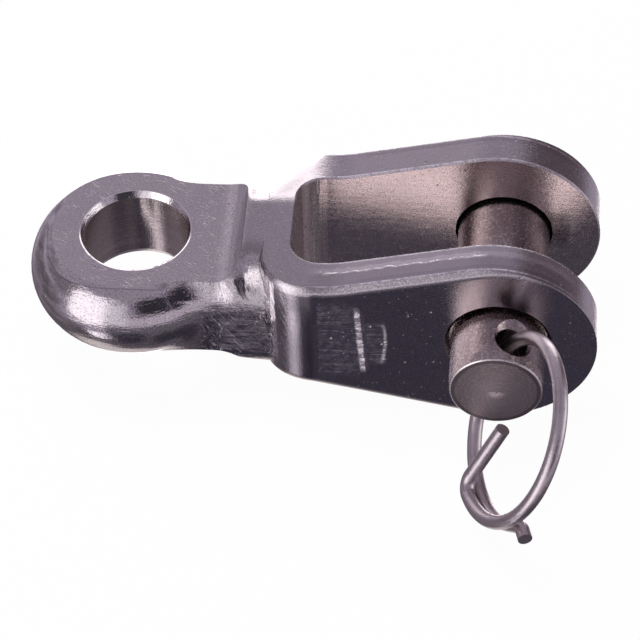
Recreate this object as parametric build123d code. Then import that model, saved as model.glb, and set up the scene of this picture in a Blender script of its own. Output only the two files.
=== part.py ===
"""Eye-and-fork toggle with a headed clevis pin and a cotter ring.

Millimetres, +Z up.  The origin is the centre of the eye's bore.  +X runs from the eye
to the fork, the eye's bore lies along Z and the clevis pin along Y.  The ring hangs
from the pin's free end, on the -Y side.
"""
from build123d import *
from math import cos, pi, radians, sin, sqrt, tan
import os

# --- eye ---------------------------------------------------------------------------
eye_bore_diameter = 13.4        # hole for the pin of the fitting that the toggle hangs on
eye_bore_chamfer_radial = 0.45  # width of the bore's lead-in, seen along the bore
eye_bore_chamfer_depth = 0.9    # depth of that lead-in
eye_thickness = 11.4            # between the two milled faces
eye_outer_diameter = 27.3       # over the rounded rim, at mid-height
eye_rim_radius = 7.3            # section radius of the rounded rim
eye_crown_extra = 0.4           # extra wall at the crown: the rim's centre lies this far out

# --- milled face round the eye -----------------------------------------------------
milled_face_reach = 10.85       # eye centre to the end of the flat, towards the neck
milled_face_corner = 3.6        # radius of the round that climbs to the neck's top

# --- neck --------------------------------------------------------------------------
waist_width = 20.5              # narrowest part, next to the eye
waist_reach = 9.0               # eye centre to the end of that part
neck_width = 22.4               # inside the shoulders, at the end of the even flare
neck_height = 18.0
neck_top_edge_radius = 7.4
neck_bottom_edge_radius = 4.0
neck_blend_radius = 11.0        # hollow where the neck leaves the eye's rim
forging_drop = 0.3              # forged mid-plane below the plane that the bores share

# --- fork --------------------------------------------------------------------------
centre_distance = 47.5          # eye bore to clevis pin
jaw_gap = 15.0                  # clear width between the ears
jaw_depth = 26.8                # clevis pin axis to the closed end of the jaw
jaw_corner_radius = 3.6
ear_thickness = 5.0
ear_end_radius = 13.4           # rounded end of an ear, seen from the side
ear_end_setback = 0.8           # that round's centre lies this far behind the pin axis
ear_taper = 13.2                # degrees that each long edge of an ear slopes
ear_edge_radius = 1.75          # forged rounding along the outer edges
rim_stock = 0.45                # milled off the rim's top, which leaves a crisp edge
under_stock = 0.9               # milled off the rim's underside
end_stock = 1.3                 # milled off the rounded end
slot_edge_break = 0.2           # small chamfer round the slot's openings
ear_root_radius = 14.0          # blend from the sloping edge to the level neck
shoulder_reach = 30.9           # clevis pin axis to the back of the shoulders
shoulder_radius = 6.6           # vertical rounding of each shoulder

# --- clevis pin --------------------------------------------------------------------
pin_diameter = 12.0
pin_hole_clearance = 0.35       # radial, pin to ear hole
pin_rest_gap = 0.05             # left under the pin where it lies in its holes
pin_hole_chamfer = 0.55         # outer edge of each ear hole
pin_overhang = 7.8              # pin end beyond the ear's outer face
pin_lead_radial = 0.1           # slight taper before the end
pin_lead_length = 1.4
pin_end_bevel = 0.15
pin_end_dome = 0.25             # height of the slightly domed end
pin_head_diameter = 16.5
pin_head_thickness = 3.0
pin_head_chamfer = 0.5
pin_head_gap = 0.1              # end play between the head and the ear

# --- cross hole for the ring -------------------------------------------------------
ring_hole_diameter = 4.2
ring_hole_mouth_diameter = 6.1  # countersink at the pin's surface
ring_hole_from_end = 4.1        # hole axis to the pin's end
ring_hole_angle = 68.8          # degrees from +X towards +Z

# --- cotter ring -------------------------------------------------------------------
wire_diameter = 1.85
ring_mean_radius = 11.7
ring_pitch = 2.05               # sideways travel of the wire in one turn
ring_lap_start = -140.0         # degrees round the ring from the pin, start of the coil
ring_lap_end = 260.0            # degrees round the ring from the pin, end of the coil
coil_step = 20                  # degrees of one arc of the coil
ring_leg_lead = 1.9             # straight run before the leg's bend
ring_leg_length = 11.0          # straight leg inside the ring
ring_leg_aim = 3.8              # degrees that the leg turns from the hole's direction
ring_leg_bend_radius = 1.75
ring_tail_length = 2.0          # short end bent outwards
ring_tail_angle = 45.0
ring_tail_bend_radius = 1.5
ring_tail_lead = 3.5            # straight run before the tail's bend
ring_wall_gap = 0.38            # wire to the wall of its hole, at mid-hole
ring_slide = 1.05               # ring pushed along its hole
ring_side_shift = 0.2           # ring pushed across its hole
ring_lean = 5.6                 # degrees that the ring's plane leans from the hole axis
ring_swing = 13.6               # degrees that the ring stands round from straight out

# --- derived sizes -----------------------------------------------------------------
neck_half_height = neck_height / 2
fork_half_width = jaw_gap / 2 + ear_thickness
ear_hole_diameter = pin_diameter + 2 * pin_hole_clearance
pin_axis_drop = pin_hole_clearance - pin_rest_gap
pin_end_y = -(fork_half_width + pin_overhang)
ring_hole_y = pin_end_y + ring_hole_from_end
through = 4 * max(centre_distance, fork_half_width, ear_end_radius)


def eye_blank():
    """Round disc whose rim is rounded in section, before its faces are milled."""
    outer = eye_outer_diameter / 2
    flat = outer - eye_rim_radius
    rim = Pos(flat, 0) * Circle(eye_rim_radius)
    core = Pos(flat / 2, 0) * Rectangle(flat, 2 * eye_rim_radius)
    right_half = Pos(outer / 2, 0) * Rectangle(outer, 2 * outer)
    section = Plane.XZ * ((rim + core) & right_half)
    return Pos(-eye_crown_extra, 0, 0) * revolve(section, Axis.Z)


def neck_start():
    """Where the neck's blank starts: at the eye's centre, or past the disc's level top.

    It is past that top once the top is wide enough to meet the neck's rounded edge.
    """
    above = eye_rim_radius + neck_top_edge_radius - neck_half_height
    edge_y = waist_width / 2 - neck_top_edge_radius
    edge_y += sqrt(max(0, neck_top_edge_radius ** 2 - above ** 2))
    level_radius = eye_outer_diameter / 2 - eye_rim_radius
    return sqrt(max(0, level_radius ** 2 - edge_y ** 2))


def neck_blank():
    """Bar with rounded edges from inside the eye to the shoulders, wider at the fork."""
    start_x = neck_start()
    end_x = centre_distance - shoulder_reach + shoulder_radius
    narrow = waist_width / 2
    wide = neck_width / 2
    straight = Line((start_x, narrow), (waist_reach, narrow))
    flare = TangentArc((waist_reach, narrow), (end_x, wide), tangent=(1, 0))
    side = straight.edges() + flare.edges()
    other_side = [edge.mirror(Plane.XZ) for edge in side]
    ends = [Line((end_x, wide), (end_x, -wide)), Line((start_x, -narrow), (start_x, narrow))]
    outline = make_face(side + other_side + ends)
    bar = extrude(outline, neck_half_height, both=True)
    long_edges = ShapeList(edge for edge in bar.edges() if is_level(edge) and runs_along(edge))
    upper = long_edges.group_by(Axis.Z)[-1]
    bar = fillet(upper, neck_top_edge_radius)
    lower = [edge for edge in bar.edges() if is_at_bottom(edge) and runs_along(edge)]
    return fillet(lower, neck_bottom_edge_radius)


def fork_profile(top, under, end, back_x):
    """Side view of the fork: round end, sloping edges, level root, as a face in XZ.

    top, under and end are stock left on the upper edge, the lower edge and the end.  The
    level root has the same stock above and none below; back_x is where it starts.  Where
    the blended corners reach back past it, the profile is drawn whole and then cut there.
    """
    slope = radians(ear_taper)
    end_x = centre_distance - ear_end_setback + end
    end_z = (top - under) / (2 * cos(slope))
    radius = ear_end_radius + (top + under) / 2 + end * sin(slope)
    touch_x = end_x - radius * sin(slope)
    rise = radius * cos(slope)
    upper_z = neck_half_height + top
    upper_x = touch_x - (end_z + rise - upper_z) / tan(slope)
    lower_x = touch_x - (rise - end_z - neck_half_height) / tan(slope)
    first_x, last_x = sorted((upper_x, lower_x))
    tail_x = min(back_x, first_x - ear_root_radius * slope)
    upper = [(touch_x, end_z + rise), (upper_x, upper_z), (tail_x, upper_z)]
    lower = [(tail_x, -neck_half_height), (lower_x, -neck_half_height), (touch_x, end_z - rise)]
    wedge = make_face(Polyline(*upper, *lower, close=True))
    roots = wedge.vertices().filter_by_position(Axis.X, first_x - 0.01, last_x + 0.01)
    wedge = fillet(roots, ear_root_radius)
    wedge &= Pos(back_x + through / 2, 0) * Rectangle(through, through)
    return wedge + Pos(end_x, end_z) * Circle(radius)


def fork_blank():
    """Solid fork block: rounded shoulders and edges as forged, then the rim milled."""
    back_x = centre_distance - shoulder_reach
    forged = fork_profile(rim_stock, under_stock, end_stock, back_x)
    block = extrude(Plane.XZ * forged, fork_half_width, both=True)
    corners = block.edges().filter_by(Axis.Z).filter_by_position(Axis.X, back_x - 0.01, back_x + 0.01)
    block = fillet(corners, shoulder_radius)
    outer_faces = block.faces().filter_by(Axis.Y)
    rims = [edge for face in outer_faces for edge in face.edges() if not is_upright(edge)]
    corners = block.faces().filter_by(GeomType.CYLINDER).filter_by(lambda f: is_shoulder(f, back_x))
    rims += [edge for face in corners for edge in face.edges() if edge.geom_type == GeomType.CIRCLE]
    block = fillet(rims, ear_edge_radius)
    milled = fork_profile(0, 0, 0, back_x - shoulder_radius)
    return block & extrude(Plane.XZ * milled, 2 * fork_half_width, both=True)


def is_upright(edge):
    """True for a straight edge along Z."""
    return edge.geom_type == GeomType.LINE and abs((edge % 0).Z) > 0.99


def is_shoulder(face, back_x):
    """True for one of the two vertical roundings at the back of the fork."""
    box = face.bounding_box()
    return abs(box.min.X - back_x) < 0.01 and box.max.X < back_x + shoulder_radius + 0.01


def milled_face_cutter(side):
    """Cutter path for one face of the eye: flat floor, then a round up to the neck's top."""
    floor_z = eye_thickness / 2
    round_z = floor_z + milled_face_corner
    top_z = round_z + neck_height
    end_x = milled_face_reach + milled_face_corner
    back_x = -eye_outer_diameter
    floor = Line((back_x, floor_z), (milled_face_reach, floor_z))
    climb = TangentArc((milled_face_reach, floor_z), (end_x, round_z), tangent=(1, 0))
    around = Polyline((end_x, round_z), (end_x, top_z), (back_x, top_z), (back_x, floor_z))
    outline = make_face(floor.edges() + climb.edges() + around.edges())
    cutter = extrude(Plane.XZ * outline, eye_outer_diameter, both=True)
    return cutter if side > 0 else mirror(cutter, Plane.XY)


def bore_lead_in(side):
    """Cone that opens the eye's bore at one face."""
    radius = eye_bore_diameter / 2
    depth = eye_bore_chamfer_depth
    cone = Cone(radius, radius + 2 * eye_bore_chamfer_radial, 2 * depth)
    middle = Pos(0, 0, side * eye_thickness / 2)
    return middle * (cone if side > 0 else Rot(180, 0, 0) * cone)


def jaw_slot():
    """Open slot between the ears, with rounded inner corners."""
    length = jaw_depth + 2 * ear_end_radius
    slot = Box(length, jaw_gap, through)
    closed_end = slot.edges().filter_by(Axis.Z).sort_by(Axis.X)[:2]
    slot = fillet(closed_end, jaw_corner_radius)
    return Pos(centre_distance - jaw_depth + length / 2, 0, 0) * slot


def stem_blank():
    """Eye and neck as forged, with a hollow where the neck leaves the eye."""
    stem = eye_blank() + neck_blank()
    stem = fillet([edge for edge in stem.edges() if is_waist(edge)], neck_blend_radius)
    return stem


def toggle_body():
    """The one-piece toggle: eye, neck and fork."""
    body = Pos(0, 0, -forging_drop) * (stem_blank() + fork_blank())
    body -= milled_face_cutter(1) + milled_face_cutter(-1)
    body -= jaw_slot()
    body = chamfer([edge for edge in body.edges() if is_slot_edge(edge)], slot_edge_break)
    body -= Cylinder(eye_bore_diameter / 2, through)
    body -= bore_lead_in(1) + bore_lead_in(-1)
    ear_hole = Pos(centre_distance, 0, 0) * Rot(90, 0, 0) * Cylinder(ear_hole_diameter / 2, through)
    body -= ear_hole
    mouths = [edge for edge in body.edges().filter_by(GeomType.CIRCLE) if is_hole_mouth(edge)]
    return chamfer(mouths, pin_hole_chamfer)


def is_level(edge):
    """True for an edge that stays at one height."""
    return edge.bounding_box().size.Z < 0.001


def is_at_bottom(edge):
    """True for an edge in the underside of the neck."""
    return is_level(edge) and abs(edge.bounding_box().min.Z + neck_half_height) < 0.001


def runs_along(edge):
    """True for an edge that makes way along X."""
    return edge.bounding_box().size.X > 0.5


def is_waist(edge):
    """True for an edge where the eye's rounded rim meets one side of the neck."""
    box = edge.bounding_box()
    from_middle = min(abs(box.min.Y), abs(box.max.Y))
    beside = box.min.Y * box.max.Y > 0 and from_middle > waist_width / 2 - 0.3 * neck_bottom_edge_radius
    near_eye = box.min.X > 0 and box.max.X < eye_outer_diameter / 2
    return beside and near_eye and edge.geom_type == GeomType.BSPLINE and not is_level(edge)


def is_slot_edge(edge):
    """True for an edge where a wall of the slot opens at the top or underside."""
    box = edge.bounding_box()
    inside = max(abs(box.min.Y), abs(box.max.Y)) < jaw_gap / 2 + 0.01
    outermost = max(abs(box.min.Z), abs(box.max.Z)) > neck_half_height - 2 * forging_drop
    beyond_neck = box.min.X > centre_distance - jaw_depth - 0.01
    return inside and outermost and beyond_neck and not is_upright(edge)


def is_hole_mouth(edge):
    """True for the rim of an ear hole on an outer face."""
    centre = edge.arc_center
    on_axis = abs(centre.X - centre_distance) < 0.01 and abs(centre.Z) < 0.01
    return on_axis and abs(abs(centre.Y) - fork_half_width) < 0.01 and edge.radius < pin_diameter


def pin_profile():
    """Half section of the solid pin, distance from its axis along X, length along Y."""
    shank = pin_diameter / 2
    lead = shank - pin_lead_radial
    end = lead - pin_end_bevel
    head = pin_head_diameter / 2
    dome_radius = (end**2 + pin_end_dome**2) / (2 * pin_end_dome)
    dome_centre_y = pin_end_y - pin_end_dome + dome_radius
    dome_middle = (end / 2, dome_centre_y - sqrt(dome_radius**2 - end**2 / 4))
    head_y = fork_half_width + pin_head_gap
    top_y = head_y + pin_head_thickness
    dome = ThreePointArc((0, pin_end_y - pin_end_dome), dome_middle, (end, pin_end_y))
    outline = Polyline(
        (end, pin_end_y),
        (lead, pin_end_y + pin_end_bevel),
        (shank, pin_end_y + pin_lead_length),
        (shank, head_y),
        (head, head_y),
        (head, top_y - pin_head_chamfer),
        (head - pin_head_chamfer, top_y),
        (0, top_y),
        (0, pin_end_y - pin_end_dome),
    )
    return make_face(dome.edges() + outline.edges())


def ring_hole_frame():
    """Plane on the axis of the cross hole, its normal along the hole."""
    angle = radians(ring_hole_angle)
    origin = (centre_distance, ring_hole_y, -pin_axis_drop)
    return Plane(origin=origin, x_dir=(0, -1, 0), z_dir=(cos(angle), 0, sin(angle)))


def ring_hole_cutter():
    """Cross hole with a 90 degree countersink at each mouth."""
    bore = ring_hole_diameter / 2
    mouth = ring_hole_mouth_diameter / 2
    surface = pin_diameter / 2
    inner = surface - (mouth - bore)
    outer = surface + 1
    cone = Pos(0, 0, (inner + outer) / 2) * Cone(bore, mouth + 1, outer - inner)
    return Cylinder(bore, 2 * pin_diameter) + cone + mirror(cone, Plane.XY)


def clevis_pin():
    """Headed pin in the ears: head on +Y, domed free end on -Y with the cross hole."""
    pin = Pos(centre_distance, 0, -pin_axis_drop) * revolve(pin_profile(), Axis.Y)
    return pin - ring_hole_frame() * ring_hole_cutter()


def coil_point(angle, radius):
    """Point of the coil at an angle round from the pin, in the ring's own plane."""
    return Vector(radius * sin(angle), -radius * cos(angle), -ring_pitch * angle / (2 * pi))


def ring_path():
    """Centre line of the wire: tail, coil and leg, in the ring's own plane.

    The ring's centre is the origin and the pin lies on the -Y side.  The coil is a chain
    of arcs that touches the mean circle every coil_step degrees while it climbs evenly.
    """
    step = radians(coil_step)
    start = radians(ring_lap_start)
    end = radians(ring_lap_end)
    count = round((end - start) / step)
    corner_radius = ring_mean_radius / cos(step / 2)
    corners = [coil_point(start + (k + 0.5) * step, corner_radius) for k in range(count)]
    tail_way = Vector(-cos(start), -sin(start), 0)
    tail_corner = coil_point(start, ring_mean_radius) + tail_way * ring_tail_lead
    tail_end = tail_corner + tail_way.rotate(Axis.Z, ring_tail_angle) * ring_tail_length
    leg_corner = coil_point(end, ring_mean_radius) + Vector(cos(end), sin(end), 0) * ring_leg_lead
    leg_end = leg_corner + Vector(1, 0, 0).rotate(Axis.Z, -ring_leg_aim) * ring_leg_length
    radii = [ring_tail_bend_radius] + [0.98 * ring_mean_radius] * count + [ring_leg_bend_radius]
    return FilletPolyline(tail_end, tail_corner, *corners, leg_corner, leg_end, radius=radii)


def ring_plane():
    """Plane of the ring where it stands: X along the hole, Y straight out from the pin."""
    hole = ring_hole_frame()
    along = hole.z_dir
    out = Vector(0, -1, 0).rotate(Axis((0, 0, 0), along), ring_swing)
    across = along.cross(out)
    seat = (ring_hole_diameter - wire_diameter) / 2 - ring_wall_gap
    centre = hole.origin + along * ring_slide + out * (ring_mean_radius - seat) + across * ring_side_shift
    leaned = along.rotate(Axis((0, 0, 0), out), -ring_lean)
    return Plane(origin=centre, x_dir=leaned, z_dir=leaned.cross(out))


def cotter_ring():
    """Round wire bent to the ring's path, with sawn ends."""
    path = ring_path()
    wire_section = Plane(origin=path @ 0, z_dir=path % 0) * Circle(wire_diameter / 2)
    return ring_plane() * sweep(wire_section, path=path)


os.makedirs("parts", exist_ok=True)
export_step(toggle_body(), "parts/toggle_body.step")
export_step(clevis_pin(), "parts/clevis_pin.step")
export_step(cotter_ring(), "parts/cotter_ring.step")
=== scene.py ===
from math import cos, radians, sin
from types import SimpleNamespace

import bpy
import numpy as np
from mathutils import Matrix, Vector


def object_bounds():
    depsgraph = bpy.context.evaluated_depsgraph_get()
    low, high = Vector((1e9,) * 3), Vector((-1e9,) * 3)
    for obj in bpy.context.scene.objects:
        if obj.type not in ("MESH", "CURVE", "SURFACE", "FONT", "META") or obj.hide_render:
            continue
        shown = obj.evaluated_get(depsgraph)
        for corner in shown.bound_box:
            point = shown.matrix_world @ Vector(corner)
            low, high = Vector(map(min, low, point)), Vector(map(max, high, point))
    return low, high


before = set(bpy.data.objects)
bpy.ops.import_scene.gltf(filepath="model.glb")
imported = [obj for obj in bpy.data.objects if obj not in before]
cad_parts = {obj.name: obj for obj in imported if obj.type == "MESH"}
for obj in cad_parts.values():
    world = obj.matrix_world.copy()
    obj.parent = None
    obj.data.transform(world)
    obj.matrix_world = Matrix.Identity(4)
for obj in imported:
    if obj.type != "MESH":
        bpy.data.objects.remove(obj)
cad_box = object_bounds()
scene = bpy.context.scene

# --- camera, in radians and metres ----------------------------------------------------
camera_azimuth = 0.104
camera_elevation = 0.825
camera_roll = -0.041
camera_distance = 0.450
camera_aim = Vector((0.0475, 0.0, 0.0))
camera_shift_right = 0.023615
camera_shift_up = 0.006162
focal_pixels = 3465.27      # focal length over the size of a pixel
frame_pixels = 640          # width of the frame
focal_in_frames = focal_pixels / frame_pixels
sensor_width = 36           # millimetres


def set_camera():
    """A long lens on a sphere round the aim point: back is the unit vector from the aim to
    the lens, right and up complete it after a roll, and the lens sits at the aim plus
    distance times back, less the two shifts."""
    az, el, roll = camera_azimuth, camera_elevation, camera_roll
    back = Vector((sin(az) * cos(el), -cos(az) * cos(el), sin(el)))
    level = Vector((cos(az), sin(az), 0))
    rise = back.cross(level)
    right = cos(roll) * level + sin(roll) * rise
    up = -sin(roll) * level + cos(roll) * rise
    lens = bpy.data.cameras.new("camera")
    lens.sensor_width = sensor_width
    lens.lens = sensor_width * focal_in_frames
    lens.clip_start = 0.01
    lens.clip_end = 10
    camera = bpy.data.objects.new("camera", lens)
    place = camera_aim + back * camera_distance - right * camera_shift_right - up * camera_shift_up
    camera.matrix_world = Matrix(
        (
            (right.x, up.x, back.x, place.x),
            (right.y, up.y, back.y, place.y),
            (right.z, up.z, back.z, place.z),
            (0, 0, 0, 1),
        )
    )
    scene.collection.objects.link(camera)
    scene.camera = camera


# --- node helpers ---------------------------------------------------------------------
class Graph:
    """Short names for the nodes of one shader tree."""

    def __init__(self, tree):
        self.tree = tree
        tree.nodes.clear()

    def add(self, kind, *values, **settings):
        """A node of one kind with its settings made and its inputs fed in order."""
        node = self.tree.nodes.new(kind)
        for name, value in settings.items():
            setattr(node, name, value)
        for socket, value in zip(node.inputs, values):
            self.feed(socket, value)
        return node

    def feed(self, socket, value):
        """Links a socket into an input, or writes a plain value there."""
        if isinstance(value, bpy.types.NodeSocket):
            self.tree.links.new(value, socket)
        else:
            socket.default_value = value

    def plug(self, node, values):
        """Feeds a node's inputs by their names, and gives back its outputs."""
        for name, value in values.items():
            self.feed(node.inputs[name], value)
        return node.outputs

    def math(self, operation, *values):
        """One arithmetic step on numbers or sockets."""
        return self.add("ShaderNodeMath", *values, operation=operation).outputs[0]

    def vector(self, operation, *values):
        """One arithmetic step on vectors."""
        return self.add("ShaderNodeVectorMath", *values, operation=operation).outputs["Vector"]

    def rise(self, value, low, high, to_low=0.0, to_high=1.0):
        """A smooth step from to_low at low to to_high at high."""
        limits = (low, high, to_low, to_high)
        node = self.add("ShaderNodeMapRange", value, *limits, interpolation_type="SMOOTHSTEP")
        return node.outputs[0]

    def window(self, value, centre, half, soft):
        """One inside centre plus or minus half, falling smoothly to nought over soft."""
        away = self.math("ABSOLUTE", self.math("SUBTRACT", value, centre))
        return self.rise(away, half, half + soft, 1.0, 0.0)

    def split(self, vector):
        """The three parts of a vector."""
        return tuple(self.add("ShaderNodeSeparateXYZ", vector).outputs)

    def join(self, x, y, z):
        """A vector from three parts."""
        return self.add("ShaderNodeCombineXYZ", x, y, z).outputs[0]

    def noise(self, vector, scale, detail=2.0, roughness=0.5):
        """Soft random values from nought to one, with scale bumps to one unit of the vector."""
        values = {"Vector": vector, "Scale": scale, "Detail": detail, "Roughness": roughness}
        return self.plug(self.add("ShaderNodeTexNoise"), values)["Fac"]

    def grained(self, vector, bumps, detail=2.0, roughness=0.6):
        """Noise with its own number of bumps to the unit in x, y and z."""
        return self.noise(self.vector("MULTIPLY", vector, bumps), 1.0, detail, roughness)

    def cells(self, vector, scale):
        """Distance to the nearest of many scattered points, in cell widths, and a random
        number of each point's own."""
        outputs = self.plug(self.add("ShaderNodeTexVoronoi"), {"Vector": vector, "Scale": scale})
        return outputs["Distance"], self.split(outputs["Color"])[0]

    def turned(self, vector, axis, degrees):
        """A vector turned about one axis."""
        node = self.add("ShaderNodeVectorRotate", rotation_type=axis + "_AXIS")
        return self.plug(node, {"Vector": vector, "Angle": radians(degrees)})[0]

    def times(self, *values):
        """The product of several numbers."""
        product = values[0]
        for value in values[1:]:
            product = self.math("MULTIPLY", product, value)
        return product

    def plus(self, *values):
        """The sum of several numbers."""
        total = values[0]
        for value in values[1:]:
            total = self.math("ADD", total, value)
        return total

    def either(self, *values):
        """The largest of several masks."""
        most = values[0]
        for value in values[1:]:
            most = self.math("MAXIMUM", most, value)
        return most

    def sum_of(self, *terms):
        """The sum of several products, each given by its factors."""
        return self.plus(*[self.times(*term) for term in terms])

    def size(self, value):
        """A number without its sign."""
        return self.math("ABSOLUTE", value)

    def hypot(self, a, b):
        """The root of a squared plus b squared."""
        return self.math("SQRT", self.plus(self.times(a, a), self.times(b, b)))

    def off_half(self, value):
        """A number less one half, so that noise swings about nought."""
        return self.math("SUBTRACT", value, 0.5)

    def between(self, data_type, first_input, output, factor, a, b):
        """One less factor times a, plus factor times b, for one type of value."""
        node = self.add("ShaderNodeMix", factor, data_type=data_type)
        self.feed(node.inputs[first_input], a)
        self.feed(node.inputs[first_input + 1], b)
        return node.outputs[output]

    def blend(self, factor, a, b):
        """A number between a and b."""
        return self.between("FLOAT", 2, 0, factor, a, b)

    def toward(self, factor, a, b):
        """A vector between a and b."""
        return self.between("VECTOR", 4, 1, factor, a, b)

    def mix(self, factor, a, b):
        """A colour between a and b."""
        return self.between("RGBA", 6, 2, factor, a, b)

    def paint(self, colour, *coats):
        """A colour with coats laid over it in order, each given by its share and its tint."""
        for share, tint in coats:
            colour = self.mix(share, colour, (*tint, 1))
        return colour


# --- studio, in metres ----------------------------------------------------------------
wall_grey = (0.39, 0.345, 0.42, 1)
floor_dark = (0.135, 0.115, 0.135, 1)
dark_from = -30             # elevations in degrees between which the grey darkens
dark_below = -46
# each panel: azimuth and elevation of its middle in degrees (azimuth 0 is in front of the
# object and 90 to its right), half its width and height, the softness of its edges, its light
panels = (
    (0, 90, 180, 12, 16, (0.26, 0.23, 0.28)),
    (-105, -28, 22, 20, 10, (0.21, 0.18, 0.21)),
    (-88, 24, 20, 16, 8, (0.24, 0.21, 0.25)),
    (-147, 29, 11, 9, 6, (0.58, 0.51, 0.60)),
    (15, -32, 42, 8, 6, (0.16, 0.145, 0.17)),
    (12, -6, 32, 9, 6, (0.62, 0.55, 0.64)),
    (24, 20, 17, 15, 4, (0.045, 0.040, 0.052)),
    (-4, -50, 14, 10, 6, (0.045, 0.041, 0.062)),
    (45, -58, 18, 10, 8, (0.05, 0.045, 0.06)),
    (140, 15, 13, 28, 9, (0.12, 0.09, 0.11)),
    (-18, 8, 9, 20, 6, (0.92, 0.87, 0.92)),
    (-45, 3, 15, 26, 7, (1.75, 1.65, 1.72)),
    (-40, -46, 6, 3, 6, (2.0, 1.88, 2.0)),
    (95, 3, 18, 14, 8, (1.30, 1.22, 1.26)),
    (178, -20, 15, 40, 8, (2.3, 2.15, 2.2)),
    (-125, -76, 70, 9, 8, (0.80, 0.73, 0.71)),
)
floor_gap = 0.0000216       # metres from the lowest point down to the floor
floor_level = cad_box[0].z - floor_gap
floor_reach = 1.5           # from the middle of the floor to its edges
floor_white = (0.86, 0.86, 0.87, 1)
shadow_share = 0.03         # share of the floor's white that shadows can take
lamp_width = 0.5            # metres
lamp_power = 3.0            # watts
lamp_place = Vector((-0.15, 0.12, 0.6))


def light_studio():
    """The surroundings as a function of direction: a grey that darkens below the horizon,
    and soft-edged panels laid over it in order, each a window in azimuth times a window in
    elevation.  What the camera sees directly is white."""
    world = bpy.data.worlds.new("studio")
    world.use_nodes = True
    g = Graph(world.node_tree)
    x, y, z = g.split(g.add("ShaderNodeTexCoord").outputs["Generated"])
    azimuth = g.math("ARCTAN2", x, g.math("MULTIPLY", y, -1.0))
    elevation = g.math("ARCSINE", z)
    light = g.mix(g.rise(elevation, radians(dark_below), radians(dark_from)), floor_dark, wall_grey)
    for az, el, half_az, half_el, soft, colour in panels:
        turned = g.math("SUBTRACT", azimuth, radians(az))
        turned = g.math("WRAP", turned, radians(180), radians(-180))
        across = g.window(turned, 0.0, radians(half_az), radians(soft))
        up = g.window(elevation, radians(el), radians(half_el), radians(soft))
        light = g.mix(g.math("MULTIPLY", across, up), light, (*colour, 1))
    shown = g.mix(g.add("ShaderNodeLightPath").outputs["Is Camera Ray"], light, (1, 1, 1, 1))
    background = g.add("ShaderNodeBackground", shown)
    g.add("ShaderNodeOutputWorld", background.outputs[0])
    scene.world = world


def hang_lamp():
    """One broad soft lamp overhead, aimed at the origin, that gives the floor its shadow."""
    lamp = bpy.data.lights.new("softbox", "AREA")
    lamp.shape = "DISK"
    lamp.size = lamp_width
    lamp.energy = lamp_power
    lamp_object = bpy.data.objects.new("softbox", lamp)
    turn = (-lamp_place).to_track_quat("-Z", "Y").to_matrix().to_4x4()
    lamp_object.matrix_world = Matrix.Translation(lamp_place) @ turn
    lamp_object.visible_glossy = False
    scene.collection.objects.link(lamp_object)


def lay_floor():
    """A pale square sheet just under the lowest point.  Seen directly it is white with a
    faint shadow; mirrored in the metal it gives way to the studio's own surroundings."""
    corners = floor_reach * np.array([(-1, -1, 0), (1, -1, 0), (1, 1, 0), (-1, 1, 0)])
    corners[:, 2] = floor_level
    mesh = bpy.data.meshes.new("floor")
    mesh.from_pydata(corners.tolist(), [], [(0, 1, 2, 3)])
    floor = bpy.data.objects.new("floor", mesh)
    scene.collection.objects.link(floor)
    sheet = bpy.data.materials.new("pale_sheet")
    sheet.use_nodes = True
    g = Graph(sheet.node_tree)
    path = g.add("ShaderNodeLightPath").outputs
    matt = g.add("ShaderNodeBsdfDiffuse", floor_white)
    white = g.add("ShaderNodeEmission")
    clear = g.add("ShaderNodeBsdfTransparent")
    direct = g.math("MULTIPLY", path["Is Camera Ray"], 1 - shadow_share)
    seen = g.add("ShaderNodeMixShader", direct, matt.outputs[0], white.outputs[0])
    mirrored = path["Is Glossy Ray"]
    shown = g.add("ShaderNodeMixShader", mirrored, seen.outputs[0], clear.outputs[0])
    g.add("ShaderNodeOutputMaterial", shown.outputs[0])
    mesh.materials.append(sheet)


# --- metals ---------------------------------------------------------------------------
def metal(name):
    """An empty metal finish: its material, its graph and its shader."""
    finish = bpy.data.materials.new(name)
    finish.use_nodes = True
    g = Graph(finish.node_tree)
    shader = g.add("ShaderNodeBsdfPrincipled")
    shader.inputs["Metallic"].default_value = 1.0
    g.add("ShaderNodeOutputMaterial", shader.outputs[0])
    return finish, g, shader


def millimetres(g):
    """Place on the object in millimetres, and the surface's direction, in its own frame."""
    coordinates = g.add("ShaderNodeTexCoord").outputs
    place = g.vector("MULTIPLY", coordinates["Object"], (1000, 1000, 1000))
    return place, coordinates["Normal"]


def bump(g, height, below=None):
    """The shading normal over a height in millimetres, laid over the normal below it."""
    values = {"Strength": 1.0, "Distance": 0.001, "Height": height}
    if below is not None:
        values["Normal"] = below
    return g.plug(g.add("ShaderNodeBump"), values)[0]


def soft_edges(g, radius):
    """The surface normal rounded near edges and hollows, radius in metres."""
    return g.add("ShaderNodeBevel", radius, samples=4).outputs[0]


def pits(g, place, scale, radius, share):
    """Scattered pits: one where a cell's point is nearer than radius cell widths, in the
    given share of the cells."""
    near, own = g.cells(place, scale)
    pit = g.rise(near, radius * 0.45, radius, 1.0, 0.0)
    return g.times(pit, g.math("LESS_THAN", own, share))


def hairlines(g, place, axis, degrees, length, width, low, high):
    """Fine scratches: noise drawn out along one direction, rising from nought at low to one
    at high."""
    laid = g.turned(place, axis, degrees)
    return g.rise(g.grained(laid, (1 / length, 1 / width, 1 / width), 1.0, 0.5), low, high)


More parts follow.
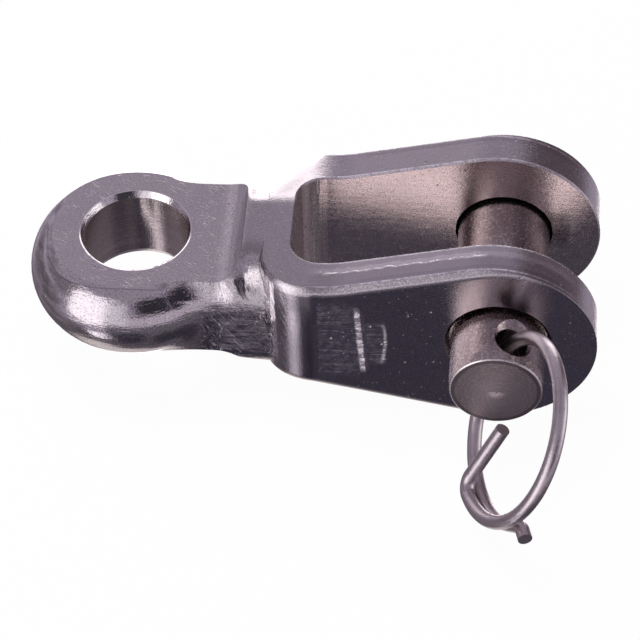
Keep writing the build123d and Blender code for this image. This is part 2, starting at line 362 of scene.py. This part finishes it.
# --- the toggle, in millimetres -------------------------------------------------------
bore_mouth_radius = 7.15    # outer edge of the lead-in round the eye's bore
eye_face_z = 5.7            # from the middle plane to each milled face of the eye
face_middle_x = -0.3        # squarish outline of that face: its middle and its two reaches
face_reach_x = 11.1
face_reach_y = 10.55
face_power = 2.5            # two would be a plain oval, and more is squarer
climb_end_x = 14.4          # where the climb from the milled face meets the neck's top
neck_top_z = 8.7
slot_end_x = 20.7
slot_wall_y = 7.5
ear_side_y = 12.5
ear_hole_radius = 6.35
pin_x = 47.5
scuff_middle_y = -9.6       # middle of the near rim, where its scuff runs

# Here and below, three numbers are a window: its middle, half its width and the softness of
# its ends.  Two are a smooth step: where it is nought, and where it is one.
rim_start_x = (22.0, 26.0)
eye_side_end_x = (13.0, 10.5)
neck_side_x = (15.0, 3.0, 1.5)
far_half_y = (0.0, 1.0)


def find_places(g):
    """Places, directions and textures that the zones share.  out_y and out_z are y and z
    without their signs, faces_y and faces_z those parts of the surface's direction without
    theirs, and radius is the distance from the bore's axis."""
    toggle = SimpleNamespace()
    toggle.place, direction = millimetres(g)
    toggle.x, toggle.y, toggle.z = g.split(toggle.place)
    toggle.out_y, toggle.out_z = g.size(toggle.y), g.size(toggle.z)
    toggle.faces_y, toggle.faces_z = [g.size(part) for part in g.split(direction)[1:]]
    toggle.radius = g.hypot(toggle.x, toggle.y)
    toggle.off_pin = g.math("SUBTRACT", toggle.x, pin_x)
    toggle.near = g.math("LESS_THAN", toggle.y, 0.0)
    toggle.grain = g.noise(toggle.place, 4.4, 2.0, 0.65)
    toggle.peel = g.noise(toggle.place, 1.1)
    toggle.drawn = g.grained(toggle.place, (0.35, 0.35, 1.3), 2.0, 0.55)
    toggle.specks = pits(g, toggle.place, 0.62, 0.12, 0.35)
    toggle.fine_specks = pits(g, toggle.place, 1.7, 0.16, 0.30)
    return toggle


def find_zones(g, toggle):
    """The large zones: each is the product of smooth steps in place, distance and
    direction, one inside it and nought outside."""
    x, out_y, faces_z = toggle.x, toggle.out_y, toggle.faces_z
    toggle.upright = g.rise(faces_z, 0.45, 0.25)
    toggle.level = g.rise(faces_z, 0.88, 0.96)
    toggle.bore = g.times(
        g.rise(toggle.radius, bore_mouth_radius, bore_mouth_radius - 0.15),
        toggle.upright,
    )
    toggle.lead_in = g.times(
        g.rise(toggle.radius, bore_mouth_radius + 0.15, bore_mouth_radius + 0.05),
        g.window(toggle.out_z, eye_face_z - 0.4, 0.5, 0.1),
        g.rise(faces_z, 0.3, 0.4),
    )
    toggle.slot_wall = g.times(
        g.rise(out_y, slot_wall_y + 0.12, slot_wall_y + 0.04),
        g.rise(x, slot_end_x - 0.3, slot_end_x),
        toggle.upright,
    )
    toggle.slot_end = g.times(toggle.slot_wall, g.rise(x, slot_end_x + 3.9, slot_end_x + 2.5))
    toggle.ear_hole = g.times(
        g.rise(g.hypot(toggle.off_pin, toggle.z), ear_hole_radius + 0.4, ear_hole_radius + 0.25),
        g.rise(out_y, slot_wall_y + 0.1, slot_wall_y + 0.2),
    )
    toggle.ear_side = g.times(
        g.rise(toggle.faces_y, 0.97, 0.995),
        g.rise(out_y, ear_side_y - 0.2, ear_side_y - 0.05),
    )
    toggle.rim = g.times(
        g.rise(faces_z, 0.6, 0.8),
        g.rise(x, *rim_start_x),
        g.rise(out_y, slot_wall_y - 0.1, slot_wall_y + 0.1),
    )
    toggle.outside = g.math("SUBTRACT", 1.0, g.either(toggle.bore, toggle.slot_wall))
    sloping = g.rise(faces_z, 0.97, 0.9)
    toggle.eye_side = g.times(sloping, g.rise(x, *eye_side_end_x), toggle.outside)
    toggle.neck_side = g.times(sloping, g.window(x, *neck_side_x), toggle.outside)
    toggle.polished = g.either(toggle.eye_side, toggle.neck_side)
    toggle.past_climb = g.rise(x, climb_end_x, climb_end_x + 0.6)
    toggle.neck_top = g.times(
        toggle.level,
        g.rise(toggle.z, neck_top_z - 0.7, neck_top_z - 0.3),
        toggle.past_climb,
    )


round_end_x = (6.0, 3.0)                # past it the milled face has no outline of its own
bore_line_end_y = (0.5, -2.0)
eye_left_x = (-7.5, -10.5)
# sets of scratches: degrees, length, width, and the noise at which a line starts and is whole
scratch_sets = (
    (35, 2.6, 0.085, 0.68, 0.74),
    (-52, 1.7, 0.075, 0.69, 0.75),
    (8, 3.2, 0.10, 0.70, 0.76),
)


def mark_eye(g, toggle):
    """The milled face is where |x / reach| to a power plus |y / reach| to that power is less
    than one.  It bears sets of scratches and a thin line of painted shade along its edge, and
    a bright line runs beside its bore."""
    radius, peel = toggle.radius, toggle.peel
    off_x = g.plus(toggle.x, -face_middle_x, g.times(g.off_half(peel), 0.25))
    along_x = g.math("POWER", g.math("DIVIDE", g.size(off_x), face_reach_x), face_power)
    along_y = g.math("POWER", g.math("DIVIDE", toggle.out_y, face_reach_y), face_power)
    outline = g.plus(along_x, along_y)
    around = g.times(
        g.rise(toggle.x, *round_end_x),
        g.rise(toggle.out_z, eye_face_z - 1.3, eye_face_z - 1.0),
    )
    toggle.milled = g.times(
        around,
        g.rise(outline, 1.0, 0.985),
        g.rise(radius, bore_mouth_radius + 0.07, bore_mouth_radius + 0.17),
    )
    # painted shade: a thin dark line along the milled face's edge
    toggle.milled_edge = g.times(around, g.window(outline, 1.0, 0.008, 0.016))
    face = g.times(
        g.either(toggle.level, toggle.milled),
        g.rise(toggle.x, climb_end_x + 0.6, climb_end_x),
    )
    lines = g.either(*[hairlines(g, toggle.place, "Z", *row) for row in scratch_sets])
    toggle.scratches = g.times(lines, g.rise(g.noise(toggle.place, 0.35), 0.42, 0.62), face)
    toggle.bore_line = g.times(
        toggle.level,
        g.window(radius, bore_mouth_radius + 0.12, 0.05, 0.05),
        g.rise(toggle.y, *bore_line_end_y),
        g.rise(peel, 0.3, 0.5, 0.4, 1.0),
    )
    toggle.eye_left = g.times(toggle.eye_side, g.rise(toggle.x, *eye_left_x))


bore_glint_x = (0.6, 0.5, 0.9)
bore_glint_z = (-2.0, 4.0)
end_patch_y = (slot_wall_y - 1.0, 0.5, 0.6)
pin_mirror_off = (6.9, 0.6, 1.6)        # from the pin's axis
pin_mirror_z = (0.8, 1.6, 2.6)


def mark_bore_and_slot(g, toggle):
    """Turning rings and a glint in the bore; streaks and a bright patch at the slot's end,
    mill marks on its walls, and painted shade on the walls just past the pin.  The rings are
    noise of the distance from the bore's axis and of z."""
    x, y, z, place = toggle.x, toggle.y, toggle.z, toggle.place
    toggle.bore_glint = g.times(
        toggle.bore,
        g.window(x, *bore_glint_x),
        g.rise(z, *bore_glint_z),
        g.rise(y, *far_half_y),
    )
    ring_place = g.join(g.times(toggle.radius, 0.1), 0.0, g.times(z, 1.3))
    toggle.turning = g.noise(ring_place, 1.0, 3.0, 0.6)
    toggle.end_streaks = g.grained(place, (2.2, 1.6, 0.12))
    toggle.end_patch = g.times(
        toggle.slot_end, g.window(y, *end_patch_y), g.rise(toggle.end_streaks, 0.32, 0.60)
    )
    toggle.wall_mill = g.grained(place, (0.25, 1.0, 1.8), 3.0)
    # painted shade: a dark band on the slot's walls just past the pin
    toggle.pin_mirror = g.times(
        toggle.slot_wall, g.window(toggle.off_pin, *pin_mirror_off), g.window(z, *pin_mirror_z)
    )


ground_left_x = (27.0, 2.4, 0.35)
ground_left_z = (-0.5, 5.6, 2.0)
ground_right_x = (31.6, 1.4, 0.3)
ground_right_z = (-0.8, 3.4, 1.0)
ridge_one_x = (29.8, 0.20, 0.42)
ridge_shade_x = (30.45, 0.10, 0.25)
ridge_one_z = (-0.4, 5.2, 1.2)
ridge_two_x = (33.1, 0.08, 0.30)
ridge_two_z = (-0.8, 2.8, 1.4)


def mark_ear(g, toggle):
    """Two ground patches and two raised ridges on the near ear's side; the ridges are also
    coated with painted highlights in toggle_tint.  The ridges are windows round a line that
    leans with z and one that bows with z squared, and noise makes all their ends wander."""
    x, z, place = toggle.x, toggle.z, toggle.place
    shift = g.times(g.off_half(g.grained(place, (0.5, 0.1, 2.2), 3.0)), 0.9)
    ragged_x = g.plus(x, shift)
    left = g.times(g.window(ragged_x, *ground_left_x), g.window(z, *ground_left_z))
    right = g.times(g.window(ragged_x, *ground_right_x), g.window(z, *ground_right_z))
    worn = g.rise(toggle.peel, 0.3, 0.6, 0.35, 1.0)
    near_side = g.times(toggle.ear_side, toggle.near)
    toggle.ground = g.times(near_side, g.either(left, right), worn)
    toggle.ground_lines = g.grained(place, (0.16, 0.2, 4.4), 2.5)
    calm_x = g.plus(x, g.times(shift, 0.4))
    leaning_x = g.plus(calm_x, g.times(z, 0.055))
    bowed_x = g.plus(calm_x, g.times(z, z, 0.03))
    nicks = g.rise(g.grained(place, (0.6, 0.1, 1.5), 2.0, 0.5), 0.34, 0.62, 0.35, 1.0)
    ridge_one_run = g.times(near_side, g.window(z, *ridge_one_z))
    toggle.ridge_one = g.times(
        ridge_one_run, g.window(leaning_x, *ridge_one_x), g.plus(0.4, g.times(nicks, 0.6))
    )
    toggle.ridge_shade = g.times(ridge_one_run, g.window(leaning_x, *ridge_shade_x))
    toggle.ridge_two = g.times(
        near_side,
        g.window(bowed_x, *ridge_two_x),
        g.window(z, *ridge_two_z),
        g.plus(0.5, g.times(nicks, 0.5)),
    )


glint_left_x = (12.2, 0.9, 0.5)
glint_left_z = (4.4, 0.8, 0.6)
glint_right_x = (16.1, 0.8, 0.4)
glint_right_z = (7.0, 1.0, 0.6)
smudge_x = (15.9, 0.25, 0.5)
smudge_z = (5.4, 0.8, 1.4)
neck_shade_x = (16.0, 1.8, 1.2)
neck_shade_z = (3.6, 1.4, 1.0)
scaly_x = (14.4, 2.0, 2.6)
scaly_z = (1.4, -3.4)
dented_x = (14.8, 2.6, 3.2)
dented_z = (6.2, -2.4)
cut_set = (-55, 9.0, 0.13, 0.67, 0.74)  # as a row of scratch_sets, but turned about Y
cuts_x = (11.6, 1.6, 1.8)
flash_x = (18.0, 0.08, 0.2)
eye_low_z = (-2.2, -4.2)
shoulder_x = (21.0, 2.2, 0.9)
high_shoulder_z = (2.0, 7.5)
dim_shoulder_z = (4.0, -3.0)
corner_shade_x = (19.3, 0.45, 0.5)
corner_shade_z = (-4.0, 1.0)
crease_light_x = (18.6, 0.2, 0.2)
crease_light_z = (4.4, 2.6, 2.0)


def mark_neck(g, toggle):
    """Patches on the near side of the eye, the neck and the shoulder: hand-worked dents and
    cuts, leans of the surface, and painted shade in hollows, creases and low down.  All are
    windows and steps in x and z whose bounds are frayed by noise drawn out on a slant."""
    x, z, near = toggle.x, toggle.z, toggle.near
    frayed = g.grained(g.turned(toggle.place, "Y", 20), (2.4, 0.4, 0.45))
    fray = g.times(g.off_half(frayed), 3.0)
    frayed_x, frayed_z = g.plus(x, fray), g.plus(z, fray)
    near_neck = g.times(toggle.neck_side, near)
    near_polish = g.times(toggle.polished, near)
    near_upright = g.times(near, toggle.upright)

    def patch(zone, across, window_x, up, window_z):
        """The part of a zone inside one window in x and one in z."""
        return g.times(zone, g.window(across, *window_x), g.window(up, *window_z))

    toggle.glint_left = patch(near_neck, frayed_x, glint_left_x, frayed_z, glint_left_z)
    toggle.glint_right = patch(near_neck, frayed_x, glint_right_x, frayed_z, glint_right_z)
    toggle.neck_shade = patch(near_neck, x, neck_shade_x, frayed_z, neck_shade_z)
    slanting_x = g.plus(frayed_x, g.times(z, 0.25))
    # painted shade in the hollow where the eye's side meets the neck
    toggle.smudge = patch(near_neck, slanting_x, smudge_x, frayed_z, smudge_z)
    crease_line_x = g.plus(x, g.times(fray, 0.12))
    toggle.crease_light = patch(near_upright, crease_line_x, crease_light_x, z, crease_light_z)
    toggle.scaly = g.times(
        near_polish, g.window(frayed_x, *scaly_x), g.rise(frayed_z, *scaly_z)
    )
    toggle.dents = g.noise(toggle.place, 0.6, 1.5)
    toggle.dented = g.times(
        near_polish, g.window(frayed_x, *dented_x), g.rise(frayed_z, *dented_z)
    )
    cuts = hairlines(g, toggle.place, "Y", *cut_set)
    toggle.cuts = g.times(cuts, near_polish, g.window(x, *cuts_x))
    # painted shade: a dark line in the crease between the neck and the shoulder
    flash_line_x = g.plus(x, g.times(z, 0.07), fray)
    toggle.flash_line = g.times(near_polish, g.window(flash_line_x, *flash_x))
    low_z = g.plus(z, g.times(fray, 0.25))
    # painted shade: the near side of the eye darker towards the bottom
    toggle.eye_low = g.times(toggle.eye_side, near, g.rise(low_z, *eye_low_z))
    shoulder = g.times(near_upright, g.window(x, *shoulder_x))
    toggle.high_shoulder = g.times(shoulder, g.rise(frayed_z, *high_shoulder_z))
    # painted shade: the near shoulder darker towards the bottom
    toggle.dim_shoulder = g.times(shoulder, g.rise(frayed_z, *dim_shoulder_z, 0.15, 0.6))
    toggle.corner_shade = g.times(
        near_upright,
        g.window(frayed_x, *corner_shade_x),
        g.rise(z, *corner_shade_z, 0.3, 0.8),
    )


strip_off = (-0.1, 0.1)                 # these four are distances from the scuff's middle
outer_band_off = (-0.1, -0.35)
band_off = (0.45, 0.25, 0.35)
scuff_off = (0.0, 0.06, 0.22)
worn_band_x = (35.5, 9.0, 4.0)
scuff_x = (35.5, 9.0, 3.0)
far_rim_start_x = (26.0, 30.0)
edge_dark_start_x = (27.0, 31.0)
edge_round_start_x = (22.0, 24.0)
edge_dark_y = (ear_side_y - 1.2, 0.15, 0.25)
outer_line_y = (ear_side_y - 0.62, 0.07, 0.10)
inner_line_y = (slot_wall_y + 0.25, 0.12, 0.10)
glare_x = (15.0, 16.0)
glare_y = (2.4, 5.6)
glare_z = (6.2, 7.6)
glare_slant = (15.8, 12.0)              # of x less 0.8 times y


def mark_rims(g, toggle):
    """On the near rim a ragged scuff with a lighter strip towards the slot and a darker band
    outside it; on both rims a band of painted shade and two lines of painted highlight along
    the edges, painted shade on the ears' rounded edges, and the glare on the far shoulder.
    Each is a window or a step in y, or in y and x moved by noise."""
    x, y, out_y, rim = toggle.x, toggle.y, toggle.out_y, toggle.rim
    near_rim = g.times(rim, toggle.near)
    rim_noise = g.times(g.off_half(g.noise(toggle.place, 0.9)), 0.7)
    off_scuff = g.plus(y, -scuff_middle_y, rim_noise)
    toggle.strip = g.times(near_rim, g.rise(off_scuff, *strip_off))
    toggle.outer_band = g.times(near_rim, g.rise(off_scuff, *outer_band_off))
    toggle.band = g.times(near_rim, g.window(off_scuff, *band_off))
    toggle.worn_band = g.times(
        toggle.band, g.window(x, *worn_band_x), g.rise(toggle.drawn, 0.3, 0.6, 0.3, 1.0)
    )
    toggle.scuff = g.times(
        near_rim,
        g.window(off_scuff, *scuff_off),
        g.window(x, *scuff_x),
        g.rise(toggle.peel, 0.34, 0.56, 0.2, 0.6),
    )
    toggle.far_rim = g.times(rim, g.rise(y, *far_half_y), g.rise(x, *far_rim_start_x))
    toggle.edge_dark = g.times(
        rim, g.window(out_y, *edge_dark_y), g.rise(x, *edge_dark_start_x)
    )
    toggle.edge_lines = g.times(
        rim,
        g.either(g.window(out_y, *outer_line_y), g.window(out_y, *inner_line_y)),
        g.rise(toggle.peel, 0.32, 0.55, 0.3, 1.0),
    )
    # the ears' rounded edges, coated with painted shade in toggle_tint
    toggle.edge_round = g.times(
        g.window(toggle.faces_y, 0.6, 0.3, 0.06),
        g.rise(out_y, ear_side_y - 1.9, ear_side_y - 1.6),
        g.rise(x, *edge_round_start_x),
    )
    fray = g.off_half(toggle.drawn)
    frayed_y = g.plus(y, g.times(fray, 3.0))
    slanting_x = g.plus(x, g.times(y, -0.8), g.times(fray, 1.2))
    toggle.glare = g.times(
        g.rise(frayed_y, *glare_y),
        g.rise(slanting_x, *glare_slant),
        g.rise(x, *glare_x),
        g.rise(toggle.z, *glare_z),
        toggle.outside,
    )


edge_softness = 0.00011                 # metres
crease_softness = 0.0012
crease_x = (17.3, 1.6, 1.2)             # hollow between the neck and the shoulders
crease_y = (6.0, 9.0)
crown_end_x = (27.5, 19.0)              # the far side of the neck falls away from its top
crown_z = (5.5, 8.0)
crown_fall_y = (1.8, 5.6)
near_fall_end_x = (18.5, 16.5)
near_fall_y = (-2.5, -8.5)
low_bore_z = (3.0, -4.0)
glare_direction = (0.0, 0.40, 0.92)
bore_line_direction = (0.0, 0.36, 0.93)
crease_light_direction = (-0.37, -0.81, 0.456)


def toggle_shape(g, toggle):
    """The normal below the relief: the surface's own with soft edges, plus a lean in x, y
    and z that sums each zone times its own amount, then turned to a given direction where
    the face is milled, in the far shoulder's glare, and along two lines."""
    x, y, z = toggle.x, toggle.y, toggle.z
    lean_x = g.sum_of(
        (toggle.glint_left, -0.17),
        (toggle.glint_right, -0.12),
        (toggle.smudge, 0.15),
        (toggle.scaly, 0.14),
        (toggle.ridge_one, -0.14),
        (toggle.ridge_two, -0.14),
        (toggle.bore_glint, -0.24),
        (toggle.dented, -0.05),
        (toggle.worn_band, -0.03),
    )
    far_crown = g.times(
        g.rise(z, *crown_z), toggle.past_climb, g.rise(x, *crown_end_x), toggle.outside
    )
    lean_y = g.sum_of(
        (far_crown, g.rise(y, *crown_fall_y), 0.40),
        (toggle.neck_top, g.rise(x, *near_fall_end_x), g.rise(y, *near_fall_y), -0.22),
        (toggle.worn_band, 0.05),
    )
    lean_z = g.sum_of(
        (toggle.glint_right, -0.22),
        (toggle.bore, -0.07),
        (toggle.lead_in, 0.14),
        (toggle.dented, 0.12),
        (toggle.high_shoulder, 0.17),
        (toggle.ridge_one, 0.26),
        (toggle.ridge_two, 0.22),
        (toggle.bore, g.rise(z, *low_bore_z), 0.06),
        (toggle.ridge_shade, -0.12),
        (toggle.ground, g.math("SUBTRACT", toggle.ground_lines, 0.42), 0.46),
    )
    crease = g.times(
        g.window(x, *crease_x),
        g.rise(toggle.out_y, *crease_y),
        g.rise(z, neck_top_z - 0.3, neck_top_z - 1.1),
    )
    shape = soft_edges(g, g.blend(crease, edge_softness, crease_softness))
    shape = g.vector("ADD", shape, g.join(lean_x, lean_y, lean_z))
    shape = g.vector("NORMALIZE", shape)
    shape = g.toward(toggle.milled, shape, g.join(0.0, 0.0, g.math("SIGN", z)))
    shape = g.toward(g.times(toggle.glare, 0.9), shape, glare_direction)
    shape = g.toward(g.times(toggle.bore_line, 0.8), shape, bore_line_direction)
    return g.toward(g.times(toggle.crease_light, 0.85), shape, crease_light_direction)


def toggle_relief(g, toggle):
    """Height in millimetres: the sum of each texture times its zone and its depth."""
    fine = g.either(toggle.polished, toggle.slot_wall)
    return g.sum_of(
        (toggle.grain, g.blend(fine, 0.030, 0.020)),
        (toggle.drawn, toggle.polished, 0.06),
        (toggle.dents, toggle.dented, 0.20),
        (toggle.turning, toggle.bore, 0.055),
        (toggle.end_streaks, toggle.slot_end, 0.12),
        (toggle.wall_mill, toggle.slot_wall, 0.02),
        (toggle.cuts, 0.03),
        (toggle.scuff, 0.05),
        (toggle.specks, -0.05),
        (toggle.fine_specks, -0.02),
        (toggle.scratches, 0.016),
    )


def toggle_tint(g, toggle):
    """Steel that drifts between two tints with low noise, and over it a coat for each zone
    and mark, in order: its share and its tint."""
    grain, drawn = toggle.grain, toggle.drawn
    drift = g.noise(toggle.place, 0.16, 1.0)
    grain_depth = g.blend(toggle.slot_wall, 0.55, 0.2)
    bores = g.either(toggle.bore, toggle.ear_hole)
    specks = g.either(g.times(toggle.specks, 0.8), g.times(toggle.fine_specks, 0.6))
    dull_tops = g.either(toggle.far_rim, toggle.neck_top)
    scraped = g.either(toggle.scuff, g.times(toggle.cuts, 0.7))
    # painted highlights along the two ridges on the near ear
    ridges = g.either(g.times(toggle.ridge_one, 0.9), g.times(toggle.ridge_two, 0.7))
    shaded = g.either(g.times(toggle.neck_shade, 0.3), g.times(toggle.eye_low, 0.25))
    dark_marks = g.either(g.times(toggle.smudge, 0.75), toggle.flash_line, toggle.corner_shade)
    return g.paint(
        g.mix(drift, (0.565, 0.525, 0.565, 1), (0.63, 0.59, 0.60, 1)),
        (g.times(grain_depth, g.rise(grain, 0.28, 0.46, 1.0, 0.0)), (0.36, 0.32, 0.36)),
        (g.times(grain_depth, g.rise(grain, 0.56, 0.74)), (0.92, 0.88, 0.93)),
        (g.times(bores, 0.85), (0.58, 0.505, 0.49)),
        (g.times(toggle.slot_wall, 0.85), (0.70, 0.62, 0.61)),
        (toggle.end_patch, (0.92, 0.84, 0.77)),
        # painted shade beside the pin
        (g.times(toggle.pin_mirror, 0.75), (0.16, 0.14, 0.14)),
        (specks, (0.18, 0.155, 0.17)),
        (g.times(toggle.scratches, 0.5), (0.85, 0.82, 0.84)),
        (g.times(toggle.strip, 0.5), (0.70, 0.66, 0.69)),
        (g.times(toggle.band, 0.7), (0.88, 0.84, 0.87)),
        (g.times(toggle.outer_band, 0.5), (0.42, 0.38, 0.42)),
        # painted shade on the far rim and the neck's top, kept off the glare
        (g.times(dull_tops, g.rise(toggle.glare, 0.0, 0.5, 0.35, 0.0)), (0.34, 0.31, 0.34)),
        (g.times(toggle.glare, toggle.glare, 0.9), (0.97, 0.95, 0.97)),
        (g.times(toggle.lead_in, 0.8), (0.88, 0.84, 0.86)),
        (g.times(scraped, 0.7), (0.90, 0.87, 0.89)),
        (g.times(toggle.polished, g.rise(grain, 0.30, 0.47, 0.45, 0.0)), (0.16, 0.14, 0.16)),
        (ridges, (0.95, 0.93, 0.95)),
        (g.times(toggle.ground, 0.75), (0.90, 0.86, 0.88)),
        (toggle.dim_shoulder, (0.24, 0.22, 0.27)),
        # painted shade on the neck's near side and low on the eye
        (shaded, (0.22, 0.20, 0.22)),
        (g.times(toggle.eye_left, g.rise(drawn, 0.56, 0.36, 0.0, 0.5)), (0.24, 0.22, 0.24)),
        (g.times(toggle.eye_left, g.rise(drawn, 0.50, 0.66, 0.0, 0.5)), (0.94, 0.91, 0.94)),
        # painted shade in the neck's hollow, its crease and the shoulder's corner
        (g.times(dark_marks, 0.8), (0.22, 0.19, 0.21)),
        # painted shade on the ears' rounded edges, speckled by the grain
        (g.times(toggle.edge_round, g.rise(grain, 0.62, 0.42, 0.45, 0.9)), (0.26, 0.24, 0.27)),
        # painted shade in a band near the rims' outer edges
        (g.times(toggle.edge_dark, 0.35), (0.30, 0.27, 0.30)),
        # painted highlights along the rims' edges
        (toggle.edge_lines, (0.95, 0.93, 0.95)),
        # painted shade along the milled face's edge
        (g.times(toggle.milled_edge, 0.55), (0.30, 0.27, 0.31)),
    )


def toggle_roughness(g, toggle):
    """A roughness for each zone, each blended over the one before, plus a little of two
    textures."""
    rough = g.blend(toggle.polished, 0.22, 0.06)
    for zone, own in ((toggle.ear_side, 0.15), (toggle.slot_wall, 0.25), (toggle.bore, 0.22)):
        rough = g.blend(zone, rough, own)
    uneven = g.times(g.off_half(toggle.peel), 0.10)
    return g.plus(rough, uneven, g.times(g.off_half(toggle.grain), 0.16))


def toggle_finish():
    """Forged stainless steel with milled faces.  Places, zones and marks are found once, and
    the shape, relief, tint and roughness are each worked out from them."""
    finish, g, shader = metal("forged_steel")
    toggle = find_places(g)
    find_zones(g, toggle)
    for mark in (mark_eye, mark_bore_and_slot, mark_ear, mark_neck, mark_rims):
        mark(g, toggle)
    normal = bump(g, toggle_relief(g, toggle), toggle_shape(g, toggle))
    tint, rough = toggle_tint(g, toggle), toggle_roughness(g, toggle)
    g.plug(shader, {"Normal": normal, "Base Color": tint, "Roughness": rough})
    return finish


# --- the pin, in millimetres ----------------------------------------------------------
pin_axis_z = -0.3
pin_end_y = -20.3
# the end line is a painted highlight, and the border inside it painted shade
end_line_radius = 5.78      # bright line at the domed end's edge
end_border_radius = 5.45    # darker border inside it
swirl_x = pin_x + 0.8       # point that the end's swirls go round
swirl_z = -1.6
pin_edge_softness = 0.00012 # metres


def pin_finish():
    """Turned satin steel: a sandy grain and fine draw streaks along the shank; the domed end
    has a border of painted shade, a painted highlight as a bright line at its edge, and swirls.
    The swirls are the sine of the distance from one point beside the axis, plus noise that
    makes them wander."""
    finish, g, shader = metal("turned_steel")
    place, direction = millimetres(g)
    x, y, z = g.split(place)
    grain = g.noise(place, 3.2, 2.5, 0.65)
    peel = g.noise(place, 0.9)
    streaks = g.grained(place, (4.5, 0.30, 4.5))
    end_face = g.rise(g.split(direction)[1], -0.9, -0.97)
    at_end = g.rise(y, pin_end_y + 0.35, pin_end_y + 0.15)
    out = g.hypot(g.math("SUBTRACT", x, pin_x), g.math("SUBTRACT", z, pin_axis_z))
    ragged_out = g.plus(out, g.times(g.off_half(peel), 0.35))
    end_line = g.times(at_end, g.window(out, end_line_radius, 0.05, 0.07))
    border = g.times(at_end, g.window(ragged_out, end_border_radius, 0.20, 0.10))
    swirl = g.hypot(g.math("SUBTRACT", x, swirl_x), g.math("SUBTRACT", z, swirl_z))
    rings = g.math("SINE", g.sum_of((swirl, 11.0), (g.noise(place, 0.5, 1.0), 14.0)))
    relief = g.sum_of((grain, 0.030), (peel, 0.012), (streaks, 0.012), (rings, end_face, 0.002))
    tint = g.paint(
        g.mix(peel, (0.38, 0.32, 0.315, 1), (0.50, 0.43, 0.42, 1)),
        (g.rise(streaks, 0.30, 0.50, 0.45, 0.0), (0.24, 0.20, 0.20)),
        (g.rise(grain, 0.32, 0.47, 0.8, 0.0), (0.20, 0.165, 0.165)),
        (g.rise(grain, 0.55, 0.70, 0.0, 0.85), (0.86, 0.79, 0.77)),
        (g.times(end_face, g.rise(swirl, 6.5, 1.0, 0.3, 0.8)), (0.76, 0.69, 0.68)),
        (g.times(end_face, g.rise(rings, 0.2, 1.0), 0.22), (0.30, 0.26, 0.26)),
        # painted shade and painted highlight at the domed end's edge
        (g.times(border, 0.7), (0.22, 0.18, 0.18)),
        (g.times(end_line, 0.9), (0.95, 0.90, 0.90)),
    )
    rough = g.blend(end_face, g.rise(grain, 0.2, 0.8, 0.18, 0.30), 0.36)
    normal = bump(g, relief, soft_edges(g, pin_edge_softness))
    g.plug(shader, {"Normal": normal, "Base Color": tint, "Roughness": rough})
    return finish


def ring_finish():
    """Drawn satin wire: its tint drifts with low noise, and the fine grain's hollows are
    darker."""
    finish, g, shader = metal("drawn_wire")
    place = millimetres(g)[0]
    grain = g.noise(place, 4.0, 3.0, 0.6)
    peel = g.noise(place, 0.7, 1.0)
    tint = g.paint(
        g.mix(peel, (0.58, 0.53, 0.56, 1), (0.66, 0.60, 0.61, 1)),
        (g.rise(grain, 0.30, 0.46, 0.5, 0.0), (0.34, 0.30, 0.32)),
    )
    normal = bump(g, g.sum_of((grain, 0.026), (peel, 0.03)))
    rough = g.rise(grain, 0.2, 0.8, 0.27, 0.37)
    g.plug(shader, {"Normal": normal, "Base Color": tint, "Roughness": rough})
    return finish


def dress(node, finish):
    """Gives one CAD node its finish."""
    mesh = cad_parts[node].data
    mesh.materials.clear()
    mesh.materials.append(finish)


set_camera()
light_studio()
hang_lamp()
lay_floor()
dress("toggle_body", toggle_finish())
dress("clevis_pin", pin_finish())
dress("cotter_ring", ring_finish())
scene.view_settings.view_transform = "Standard"
